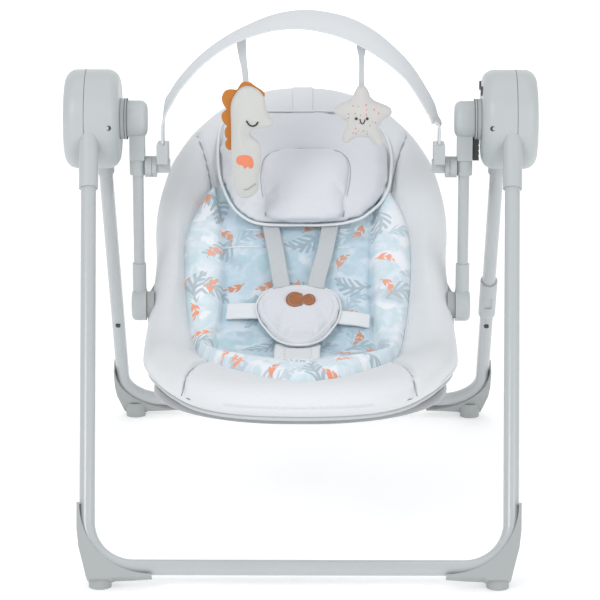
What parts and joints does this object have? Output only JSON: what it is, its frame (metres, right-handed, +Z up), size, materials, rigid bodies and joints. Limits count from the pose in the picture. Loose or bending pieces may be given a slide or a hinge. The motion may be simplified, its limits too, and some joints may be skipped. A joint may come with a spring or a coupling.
{
  "type": "baby swing",
  "caption": "Free-standing folding baby swing: padded reclining seat hung on two arms between round hubs, tubular legs and a toy bar with hanging plush toys.",
  "frame": {"origin": "floor level, midway between the four feet", "axes": "+X to the right seen from the front, front faces -Y, +Z up; the swing axis is parallel to X at 0.5 m height"},
  "size_m": [0.598, 0.7528, 0.6326],
  "materials": {
    "shell_grey": "satin moulded",
    "tube_grey": "satin powder coat",
    "shoe_grey": "matt moulded",
    "button_dark": "matt moulded",
    "board_green": "solder mask",
    "coil_copper": "enamelled wire",
    "cell_jacket": "printed sleeve",
    "steel": "turned",
    "seat_tube": "plain",
    "cloth_grey": "soft woven",
    "cloth_print": "printed woven",
    "webbing": "woven webbing",
    "band_grey": "cloth covered strip",
    "plush_ivory": "plush",
    "felt_orange": "felt",
    "leather_tan": "smooth"
  },
  "bodies": {
    "frame": {"hub_outer_l": "shell_grey", "hub_outer_r": "shell_grey", "hub_inner_l": "shell_grey", "hub_inner_r": "shell_grey", "front_socket_l": "shell_grey", "front_socket_r": "shell_grey", "front_leg_l": "tube_grey", "front_leg_r": "tube_grey", "front_base": "tube_grey", "front_foot_l": "shoe_grey", "front_foot_r": "shoe_grey", "control_board": "board_green", "drive_coil": "coil_copper", "battery_cells": "cell_jacket", "battery_door": "shell_grey"},
    "lock_left": {"lock_button_l": "shoe_grey"},
    "lock_right": {"lock_button_r": "shoe_grey"},
    "power": {"power_button": "button_dark"},
    "speed": {"speed_button": "button_dark"},
    "rear": {"rear_knuckle_l": "shell_grey", "rear_knuckle_r": "shell_grey", "rear_leg_l": "tube_grey", "rear_leg_r": "tube_grey", "rear_base": "tube_grey", "rear_foot_l": "shoe_grey", "rear_foot_r": "shoe_grey", "leg_sleeve": "shell_grey"},
    "snap_left": {"snap_l": "button_dark"},
    "snap_right": {"snap_r": "button_dark"},
    "swing": {"axle_l": "steel", "axle_r": "steel", "arm_head_l": "shell_grey", "arm_head_r": "shell_grey", "arm_tube_l": "tube_grey", "arm_tube_r": "tube_grey", "pivot_housing_l": "shell_grey", "pivot_housing_r": "shell_grey", "toy_bracket_l": "shell_grey", "toy_bracket_r": "shell_grey"},
    "trigger": {"arm_trigger": "button_dark"},
    "toy_bar": {"toy_socket_l": "shell_grey", "toy_socket_r": "shell_grey", "toy_band": "band_grey"},
    "seahorse_toy": {"seahorse": "plush_ivory", "seahorse_mane": "felt_orange", "seahorse_strap": "webbing"},
    "star_toy": {"star": "plush_ivory", "star_strap": "webbing"},
    "seat": {"seat_frame": "seat_tube", "hinge_plate_l": "shoe_grey", "hinge_plate_r": "shoe_grey", "back_pad": "cloth_grey", "base_pad": "cloth_grey", "back_insert": "cloth_print", "base_insert": "cloth_print", "head_pillow": "cloth_grey", "harness_straps": "webbing", "crotch_pad": "cloth_grey", "crotch_strap": "webbing", "crotch_patch": "leather_tan"}
  },
  "joints": [
    {"name": "rear_leg_fold", "type": "hinge", "parent": "frame", "child": "rear", "pos_m": [0, 0.02, 0.47], "axis": [-1, 0, 0], "range_deg": [0, 58]},
    {"name": "swing", "type": "hinge", "parent": "frame", "child": "swing", "pos_m": [0, 0, 0.5], "axis": [1, 0, 0], "range_deg": [-18, 18]},
    {"name": "seat_recline", "type": "hinge", "parent": "swing", "child": "seat", "pos_m": [0, 0, 0.256], "axis": [-1, 0, 0], "range_deg": [0, 12]},
    {"name": "toy_bar_turn", "type": "hinge", "parent": "swing", "child": "toy_bar", "pos_m": [0, 0, 0.438], "axis": [1, 0, 0], "range_deg": [0, 50]},
    {"name": "seahorse_hang", "type": "hinge", "parent": "toy_bar", "child": "seahorse_toy", "pos_m": [-0.07, 0.0123, 0.6112], "axis": [1, 0, 0], "range_deg": [-25, 2]},
    {"name": "star_hang", "type": "hinge", "parent": "toy_bar", "child": "star_toy", "pos_m": [0.08, 0.0123, 0.6068], "axis": [1, 0, 0], "range_deg": [-25, 2]},
    {"name": "lock_button_left", "type": "slide", "parent": "frame", "child": "lock_left", "axis": [1, 0, 0], "range_m": [0, 0.005], "stiffness_N_per_m": 300, "springref_m": -0.002},
    {"name": "lock_button_right", "type": "slide", "parent": "frame", "child": "lock_right", "axis": [-1, 0, 0], "range_m": [0, 0.005], "stiffness_N_per_m": 300, "springref_m": -0.002},
    {"name": "power_press", "type": "slide", "parent": "frame", "child": "power", "axis": [1, 0, 0], "range_m": [0, 0.0012], "stiffness_N_per_m": 400, "springref_m": -0.0008},
    {"name": "speed_press", "type": "slide", "parent": "frame", "child": "speed", "axis": [1, 0, 0], "range_m": [0, 0.0012], "stiffness_N_per_m": 400, "springref_m": -0.0008},
    {"name": "snap_left_press", "type": "slide", "parent": "rear", "child": "snap_left", "axis": [0, 0.7978, 0.6029], "range_m": [0, 0.0018], "stiffness_N_per_m": 400, "springref_m": -0.0008},
    {"name": "snap_right_press", "type": "slide", "parent": "rear", "child": "snap_right", "axis": [0, 0.7978, 0.6029], "range_m": [0, 0.0018], "stiffness_N_per_m": 400, "springref_m": -0.0008},
    {"name": "arm_trigger_press", "type": "slide", "parent": "swing", "child": "trigger", "axis": [-1, 0, 0], "range_m": [0, 0.003], "stiffness_N_per_m": 350, "springref_m": -0.002}
  ]
}
